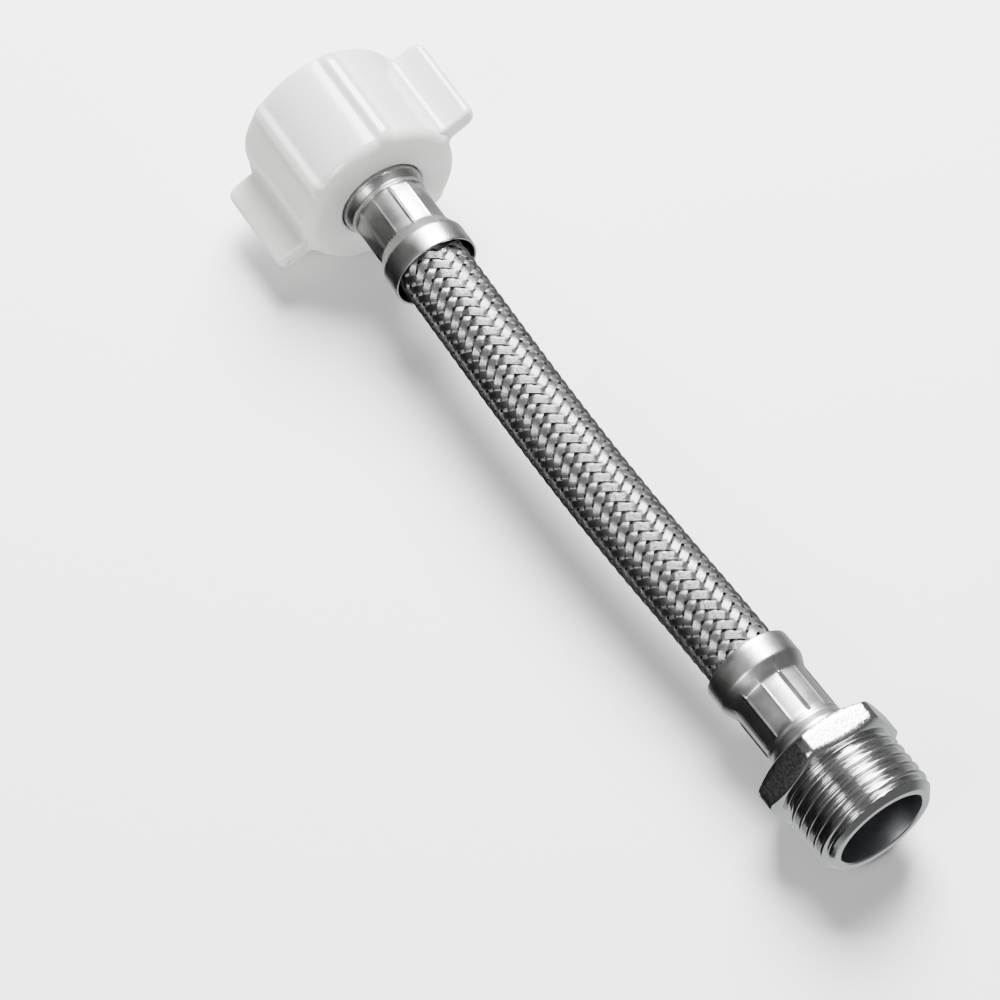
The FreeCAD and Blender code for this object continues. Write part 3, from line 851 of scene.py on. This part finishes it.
class CONNECTOR_OT_ferrules(bpy.types.Operator):
    """Build the two crimped ferrules"""

    bl_idname = "connector.ferrules"
    bl_label = "Ferrules"

    def execute(self, context):
        size = context.scene.connector_ferrule
        steel = bright_metal(
            "drawn stainless sheet",
            list(size.colour),
            roughness=0.29,
            grain=0.2 * MM,
            relief=0.008 * MM,
        )
        at_nut = axes((size.nut_end, 0, 0), (1, 0, 0))
        mesh = ferrule_mesh("ferrule_nut_end", size, at_nut, math.radians(3.7))
        add_piece("crimped_ferrule_nut", mesh, [steel], "hose", "ferrule_steel", "nut_end_ferrule")
        end, along = hose_end()
        back = end + along * context.scene.connector_adapter.set_back
        mesh = ferrule_mesh("ferrule_male_end", size, axes(back, -along), math.radians(6.1))
        add_piece(
            "crimped_ferrule_male", mesh, [steel], "hose", "ferrule_steel", "male_end_ferrule"
        )
        return {"FINISHED"}


# ---------------------------------------------------------------- male adapter

ADAPTER_STEM = 1.8 * MM  # how far behind the hexagon the barbed stem begins
ADAPTER_WAY = 2.8 * MM  # radius of the water way through the stem
CONE_START = 10.75 * MM  # radius at which the hexagon's turned cones begin
CONE_SLOPE = math.tan(math.radians(62))
TIP_SLOPE = math.tan(math.radians(40))  # of the cone that the thread runs out into
EDGE_SOFT = 0.07 * MM  # distance of the rings on each side of an edge of the hexagon
ADAPTER_POINTS = 240
ADAPTER_THREAD_STEPS = 104
THREAD_EARLY = 0.5 * MM  # how far before the relief's end the thread's rings begin
THREAD_EASE = 1.1 * MM  # length over which the thread rises to its full height
DRILL_DEPTH = 11.0 * MM  # of the wide bore, from the tip
DRILL_POINT = 12.8 * MM  # from the tip to where the drill's cone meets the narrow bore
TURNED, FORGED, BORED = range(3)  # the adapter's materials, in order


def adapter_rings(size):
    """Rings over the adapter's outside from its stem to its tip, and back through its bore."""
    rings = []

    def hexagon(angle):
        """Radius of the hexagon, and how far along X the turned cone reaches there."""
        off = (angle - size.turn) % (math.pi / 3) - math.pi / 6
        radius = min(size.flats / 2 / math.cos(off), size.corner)
        return radius, (radius - CONE_START) / CONE_SLOPE

    def ring(rule):
        points = []
        for k in range(ADAPTER_POINTS):
            angle = size.turn + 2 * math.pi * k / ADAPTER_POINTS
            x, r = rule(angle)
            points.append(polar(x, r, angle))
        rings.append(points)

    def plain(outline):
        for x, r in outline:
            ring(lambda angle: (x, r))

    stem = [(-x, r, rounding) for x, r, rounding in barbed_stem(ADAPTER_STEM, ADAPTER_WAY)]
    stem = stem[::-1] + [(0.0, STEM_NECK, 0.1 * MM), (0.0, CONE_START, 0.0)]
    plain(spread(rounded(stem, 3), 1.4 * MM, closed=False))

    # hexagon: turned cone, flats, turned cone. Each ring is (share of the flats' length,
    # how far past that along X, whether it lies on a cone)
    def flats_ring(share, past, on_cone):
        def rule(angle):
            radius, cone = hexagon(angle)
            x = cone + share * (size.hexagon - 2 * cone) + past
            return x, radius - EDGE_SOFT * CONE_SLOPE * on_cone

        return rule

    for share, past, on_cone in (
        (0.0, -EDGE_SOFT, 1),
        (0.0, EDGE_SOFT, 0),
        (0.25, 0.0, 0),
        (0.5, 0.0, 0),
        (0.75, 0.0, 0),
        (1.0, -EDGE_SOFT, 0),
        (1.0, EDGE_SOFT, 1),
    ):
        ring(flats_ring(share, past, on_cone))
    plain(
        (
            (size.hexagon - 0.04 * MM, CONE_START + 0.02 * MM),
            (size.hexagon, CONE_START - 0.08 * MM),
            (size.hexagon, size.root + 0.35 * MM),
            (size.hexagon + 0.06 * MM, size.root + 0.1 * MM),
            (size.hexagon + 0.2 * MM, size.root),
        )
    )

    # thread: rounded crests and roots, run out into the relief and into the tip's cone
    start = size.hexagon + size.relief - THREAD_EARLY
    depth = size.crest - size.root

    def thread(x):
        def rule(angle):
            tooth = smooth_tooth(x / size.pitch - angle / (2 * math.pi), 1.33, 3.3)
            ease = min(1.0, max(0.0, (x - start) / THREAD_EASE))
            tip_cone = size.tip_radius + (size.tip - 0.15 * MM - x) * TIP_SLOPE
            return x, min(size.root + depth * tooth * ease, tip_cone)

        return rule

    run = size.tip - 0.3 * MM - start
    for k in range(ADAPTER_THREAD_STEPS + 1):
        ring(thread(start + run * k / ADAPTER_THREAD_STEPS))

    bore = [
        (size.tip - 0.15 * MM, size.tip_radius, 0.0),
        (size.tip, size.tip_radius - 0.15 * MM, 0.1 * MM),
        (size.tip, size.bore + 0.25 * MM, 0.1 * MM),
        (size.tip - 0.25 * MM, size.bore, 0.1 * MM),
        (size.tip - DRILL_DEPTH, size.bore, 0.6 * MM),
        (size.tip - DRILL_POINT, ADAPTER_WAY, 0.4 * MM),
        (-16.0 * MM, ADAPTER_WAY, 0.0),
    ]
    plain(spread(rounded(bore, 4), 1.2 * MM, closed=False))
    return rings


class CONNECTOR_OT_adapter(bpy.types.Operator):
    """Build the male adapter with its hexagon and outside thread"""

    bl_idname = "connector.adapter"
    bl_label = "Male adapter"

    def execute(self, context):
        size = context.scene.connector_adapter
        end, along = hose_end()
        place = axes(end + along * size.set_back, along)
        mesh = skin("male_adapter_body", adapter_rings(size), place, sharp=55)
        nickel = list(size.colour)
        turned = bright_metal(
            "turned nickel plated brass", nickel, roughness=0.17, grain=0.25 * MM, relief=0.002 * MM
        )
        forged = forged_nickel("forged nickel plated brass", nickel)
        # the bore is rougher, and its colour is painted a little darker than the plate as painted
        # shade in the bore
        bored = bright_metal(
            "drilled bore painted darker as shade",
            linear("#B2B3B6"),
            roughness=0.4,
            grain=0.2 * MM,
            relief=0.01 * MM,
        )
        metals = [turned, forged, bored]
        add_piece("male_adapter_body", mesh, metals, "hose", "adapter_nickel", "male_adapter")
        back = place.inverted()
        for face in mesh.polygons:
            centre = back @ face.center
            normal = back.to_3x3() @ face.normal
            out = math.hypot(centre.y, centre.z)
            on_flat = size.flats / 2 - 0.1 * MM < out < size.corner - 0.06 * MM
            if abs(normal.x) < 0.1 and on_flat and 0 < centre.x < size.hexagon:
                face.material_index = FORGED
            elif out < size.bore + 0.02 * MM and centre.x > 0:
                face.material_index = BORED
            else:
                face.material_index = TURNED
        return {"FINISHED"}


# ---------------------------------------------------------------- hose

WIRE_POINTS = 4.0  # points across a wire
CROSSING_ROWS = 3.0  # rows of points to a crossing
OVER_UNDER = 2.0  # how sharply a bundle changes from over to under
EDGE_DROP = 2.2 * MM  # lowers the outer wires, times the fourth power of the place across
WHOLE_INPUTS = ("Bundles", "First", "Made", "Crossings", "Wires")
REAL_INPUTS = ("Hand", "Lead", "Start", "Cover", "Middle", "Wave", "Wire Rise", "Turn")


def braid_tree(material):
    """Node tree that lays one direction of wire bundles round a route, two over and two under."""
    tree = bpy.data.node_groups.new("wire braid", "GeometryNodeTree")
    face = tree.interface
    face.new_socket("Route", in_out="INPUT", socket_type="NodeSocketGeometry")
    for names, kind in ((WHOLE_INPUTS, "NodeSocketInt"), (REAL_INPUTS, "NodeSocketFloat")):
        for name in names:
            face.new_socket(name, in_out="INPUT", socket_type=kind)
    face.new_socket("Braid", in_out="OUTPUT", socket_type="NodeSocketGeometry")
    given = tree.nodes.new("NodeGroupInput").outputs
    result = tree.nodes.new("NodeGroupOutput")

    def calc(operation, *values):
        links = dict(enumerate(values))
        return add_node(tree, "ShaderNodeMath", links, operation=operation).outputs[0]

    def vector(operation, first, second):
        links = {0: first, "Scale" if operation == "SCALE" else 1: second}
        return add_node(tree, "ShaderNodeVectorMath", links, operation=operation).outputs[0]

    def store(geometry, name, value):
        links = {"Geometry": geometry, "Name": name, "Value": value}
        kind = "GeometryNodeStoreNamedAttribute"
        node = add_node(tree, kind, links, data_type="FLOAT", domain="POINT")
        return node.outputs["Geometry"]

    def recall(name):
        kind = "GeometryNodeInputNamedAttribute"
        return add_node(tree, kind, {"Name": name}, data_type="FLOAT").outputs["Attribute"]

    # one bundle: a strip closed to a tube, which knows where it is across and along
    points = calc("MULTIPLY_ADD", given["Wires"], WIRE_POINTS, 1.0)
    rows = calc("MULTIPLY", given["Crossings"], CROSSING_ROWS)
    strip = add_node(
        tree,
        "GeometryNodeMeshCylinder",
        {"Vertices": points, "Side Segments": rows, "Radius": 1.0, "Depth": 2.0},
    )
    place = add_node(tree, "GeometryNodeInputPosition").outputs[0]
    corner = add_node(tree, "ShaderNodeSeparateXYZ", {"Vector": place}).outputs
    turn = calc("DIVIDE", calc("ARCTAN2", corner["Y"], corner["X"]), 2 * math.pi)
    turn = calc("FRACT", calc("ADD", turn, calc("DIVIDE", 0.5, points)))
    number = calc("FLOOR", calc("MULTIPLY", turn, points))
    across = calc("DIVIDE", number, calc("SUBTRACT", points, 1.0))
    along = calc("MULTIPLY_ADD", corner["Z"], 0.5, 0.5)
    marked = store(store(strip.outputs["Mesh"], "across", across), "along", along)

    # the bundles of this hand, each knowing its number
    row = add_node(tree, "GeometryNodeMeshLine", {"Count": given["Made"]}).outputs["Mesh"]
    index = add_node(tree, "GeometryNodeInputIndex").outputs[0]
    row = store(row, "bundle", calc("ADD", index, given["First"]))
    copies = add_node(tree, "GeometryNodeInstanceOnPoints", {"Points": row, "Instance": marked})
    copies = {"Geometry": copies.outputs["Instances"]}
    strips = add_node(tree, "GeometryNodeRealizeInstances", copies)
    bundle, across, along = recall("bundle"), recall("across"), recall("along")

    # crossing count along the hose, and this point's own place across the bundle
    cells = calc("MULTIPLY", along, given["Crossings"])
    centred = calc("SUBTRACT", across, 0.5)
    sideways = calc("MULTIPLY", centred, given["Cover"])
    twice = calc("MULTIPLY", given["Bundles"], 2.0)
    cell = calc("DIVIDE", given["Lead"], twice)
    distance = calc("MULTIPLY_ADD", calc("ADD", cells, sideways), cell, given["Start"])

    # angle round the hose
    gone = calc("SUBTRACT", cells, calc("MULTIPLY_ADD", bundle, 2.0, sideways))
    gone = calc("MULTIPLY", calc("DIVIDE", gone, twice), 2 * math.pi)
    around = calc("MULTIPLY_ADD", gone, given["Hand"], given["Turn"])

    # two over, two under
    step = calc("MULTIPLY", calc("MULTIPLY_ADD", bundle, -2.0, cells), given["Hand"])
    step = calc("COSINE", calc("MULTIPLY", calc("SUBTRACT", step, 0.5), math.pi / 2))
    step = calc("TANH", calc("MULTIPLY", step, OVER_UNDER))
    step = calc("MULTIPLY", step, given["Hand"])
    radius = calc("MULTIPLY_ADD", step, given["Wave"], given["Middle"])

    # round wires side by side, the outer ones a little lower
    lane = calc("MULTIPLY", calc("MULTIPLY", across, given["Wires"]), math.pi)
    lane = calc("ABSOLUTE", calc("SINE", lane))
    radius = calc("MULTIPLY_ADD", lane, given["Wire Rise"], radius)
    edge = calc("MULTIPLY", centred, centred)
    radius = calc("MULTIPLY_ADD", calc("MULTIPLY", edge, edge), -EDGE_DROP, radius)

    # onto the route
    line = add_node(tree, "GeometryNodeMeshToCurve", {"Mesh": given["Route"]})
    at = add_node(
        tree,
        "GeometryNodeSampleCurve",
        {"Curves": line.outputs["Curve"], "Length": distance},
        mode="LENGTH",
        data_type="FLOAT",
    ).outputs
    forward = at["Tangent"]
    up = vector("CROSS_PRODUCT", forward, (0.0, 1.0, 0.0))
    up = add_node(tree, "ShaderNodeVectorMath", {0: up}, operation="NORMALIZE").outputs[0]
    side = vector("CROSS_PRODUCT", up, forward)
    side = vector("SCALE", side, calc("COSINE", around))
    up = vector("SCALE", up, calc("SINE", around))
    out = vector("SCALE", vector("ADD", side, up), radius)
    spot = vector("ADD", at["Position"], out)
    laid = add_node(
        tree, "GeometryNodeSetPosition", {"Geometry": strips.outputs["Geometry"], "Position": spot}
    )
    smooth = add_node(tree, "GeometryNodeSetShadeSmooth", {"Geometry": laid.outputs["Geometry"]})
    done = add_node(
        tree,
        "GeometryNodeSetMaterial",
        {"Geometry": smooth.outputs["Geometry"], "Material": material},
    )
    tree.links.new(done.outputs["Geometry"], result.inputs["Braid"])
    return tree


def plain_mesh(holder):
    """The shape of an object as a plain mesh. The object is removed."""
    graph = bpy.context.evaluated_depsgraph_get()
    mesh = bpy.data.meshes.new_from_object(holder.evaluated_get(graph), depsgraph=graph)
    bpy.data.objects.remove(holder)
    return mesh


def braid_mesh(name, tree, route, values):
    """One direction of the braid as a plain mesh, its faces pointing out."""
    maker = add_object(name + "_maker", route)
    nodes = maker.modifiers.new("braid", "NODES")
    nodes.node_group = tree
    for item in tree.interface.items_tree:
        if item.in_out == "INPUT" and item.name in values:
            nodes[item.identifier] = values[item.name]
    mesh = plain_mesh(maker)
    mesh.name = name
    face_out(mesh)
    return mesh


class CONNECTOR_OT_hose(bpy.types.Operator):
    bl_idname = "connector.hose"
    bl_label = "Hose"

    def execute(self, context):
        size = context.scene.connector_braid
        rubber = moulded_rubber("extruded black rubber", linear("#161617"))
        wire = bright_metal(
            "drawn stainless wire",
            list(size.colour),
            roughness=0.24,
            grain=0.3 * MM,
            relief=0.004 * MM,
        )

        route = plain_mesh(add_object("route_line", route_curve("route_line")))

        tree = braid_tree(wire)
        half = size.bundles // 2
        values = {
            "Bundles": size.bundles,
            "Made": half,
            "Lead": size.lead,
            "Start": size.start,
            "Crossings": size.cells,
            "Wires": size.wires,
            "Cover": size.cover,
            "Middle": size.middle,
            "Wave": size.wave,
            "Wire Rise": size.wire,
            "Turn": size.turn,
        }
        for hand, word in ((1.0, "left"), (-1.0, "right")):
            for first in (0, half):
                name = f"wire_braid_{word}_{1 + first // half}"
                mesh = braid_mesh(name, tree, route, {**values, "Hand": hand, "First": first})
                add_piece(name, mesh, [], "hose", "braid_steel", "wire_braid")

        curve = route_curve("rubber_tube")
        curve.bevel_depth = size.tube
        curve.bevel_resolution = 12
        curve.use_fill_caps = True
        curve.materials.append(rubber)
        tube = add_object("rubber_tube", curve)
        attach(tube, "hose")
        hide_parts("inner_tube")
        return {"FINISHED"}


# ---------------------------------------------------------------- stage

FLOOR_REACH = 3.0
CAMERA_AT = Vector((0.44723, -0.23640, 0.65449))
CAMERA_AIM = Vector((0.07873, -0.01269, -0.00493))
CAMERA_LENS, CAMERA_SENSOR = 177.2, 36.0  # millimetres


def add_light(name, place, aim, width, height, power):
    """A soft box that faces a point."""
    lamp = bpy.data.lights.new(name, "AREA")
    lamp.shape = "RECTANGLE"
    lamp.size, lamp.size_y = width, height
    lamp.energy = power
    holder = add_object(name, lamp)
    holder.location = place
    holder.rotation_euler = (Vector(aim) - Vector(place)).to_track_quat("-Z", "X").to_euler()
    holder.visible_camera = False


def add_card(name, place, size):
    """A dark card that only shows in reflections, as beside a product on its table."""
    matt = {"Specular IOR Level": 0.0}
    felt = new_material("black felt", linear("#2E2E2E"), 0.0, 1.0, matt)[0]
    work = bmesh.new()
    bmesh.ops.create_cube(work, size=1.0)
    for vertex in work.verts:
        vertex.co = Vector(place) + Vector(a * b for a, b in zip(vertex.co, size))
    mesh = bpy.data.meshes.new(name)
    work.to_mesh(mesh)
    work.free()
    mesh.materials.append(felt)
    card = add_object(name, mesh)
    card.visible_camera = False
    card.visible_shadow = False


class CONNECTOR_OT_stage(bpy.types.Operator):
    """Set the pale floor, the soft light and the camera"""

    bl_idname = "connector.stage"
    bl_label = "Stage"

    def execute(self, context):
        paint = new_material("pale matt paint", linear("#F4F4F3"), 0.0, 0.7)[0]
        ground = bpy.data.meshes.new("floor")
        sides = ((-1, -1), (1, -1), (1, 1), (-1, 1))
        corners = [(x * FLOOR_REACH, y * FLOOR_REACH, cad_low.z) for x, y in sides]
        ground.from_pydata(corners, [], [(0, 1, 2, 3)])
        ground.materials.append(paint)
        floor = add_object("floor", ground)
        floor.visible_glossy = False

        world = bpy.data.worlds.new("studio")
        context.scene.world = world
        world.use_nodes = True
        tree = world.node_tree
        sky = tree.nodes["Background"]
        sky.inputs["Color"].default_value = linear("#E6E8EA")
        # lit from all round, and brighter from below, as over a lit table
        way = add_node(tree, "ShaderNodeTexCoord").outputs["Generated"]
        height = add_node(tree, "ShaderNodeSeparateXYZ", {"Vector": way}).outputs["Z"]
        glow = remap(
            tree,
            height,
            start=-0.75,
            end=-0.1,
            low=1.3,
            high=0.26,
            interpolation_type="SMOOTHSTEP",
        )
        tree.links.new(glow, sky.inputs["Strength"])

        middle = (0.08, 0.0, 0.0)
        add_light("key", (-0.30, 0.28, 0.6), middle, width=0.54, height=0.45, power=36.0)
        add_light("side", (0.25, -0.40, 0.38), middle, width=0.22, height=0.2, power=2.4)
        add_card("dark_card", place=(-0.25, -0.42, -0.1), size=(1.6, 0.002, 1.7))

        camera = bpy.data.cameras.new("camera")
        camera.lens = CAMERA_LENS
        camera.sensor_width = CAMERA_SENSOR
        holder = add_object("camera", camera)
        holder.location = CAMERA_AT
        holder.rotation_euler = (CAMERA_AIM - CAMERA_AT).to_track_quat("-Z", "Y").to_euler()
        context.scene.camera = holder
        return {"FINISHED"}


# ---------------------------------------------------------------- panel and registration


OPERATORS = (
    CONNECTOR_OT_nut,
    CONNECTOR_OT_seal,
    CONNECTOR_OT_ferrules,
    CONNECTOR_OT_adapter,
    CONNECTOR_OT_hose,
    CONNECTOR_OT_stage,
)


class CONNECTOR_PT_panel(bpy.types.Panel):
    """Lists the connector's pieces"""

    bl_idname = "CONNECTOR_PT_panel"
    bl_label = "Supply connector"
    bl_space_type = "VIEW_3D"
    bl_region_type = "UI"
    bl_category = "Connector"

    def draw(self, context):
        for operator in OPERATORS:
            self.layout.operator(operator.bl_idname)


def register():
    for group in GROUPS.values():
        bpy.utils.register_class(group)
    for name, group in GROUPS.items():
        setattr(bpy.types.Scene, name, bpy.props.PointerProperty(type=group))
    for operator in OPERATORS:
        bpy.utils.register_class(operator)
    bpy.utils.register_class(CONNECTOR_PT_panel)


def unregister():
    bpy.utils.unregister_class(CONNECTOR_PT_panel)
    for operator in reversed(OPERATORS):
        bpy.utils.unregister_class(operator)
    for name in GROUPS:
        delattr(bpy.types.Scene, name)
    for group in reversed(list(GROUPS.values())):
        bpy.utils.unregister_class(group)


def main():
    register()
    bpy.ops.connector.nut()
    bpy.ops.connector.seal()
    bpy.ops.connector.ferrules()
    bpy.ops.connector.adapter()
    bpy.ops.connector.hose()
    bpy.ops.connector.stage()


if __name__ == "__main__":
    main()
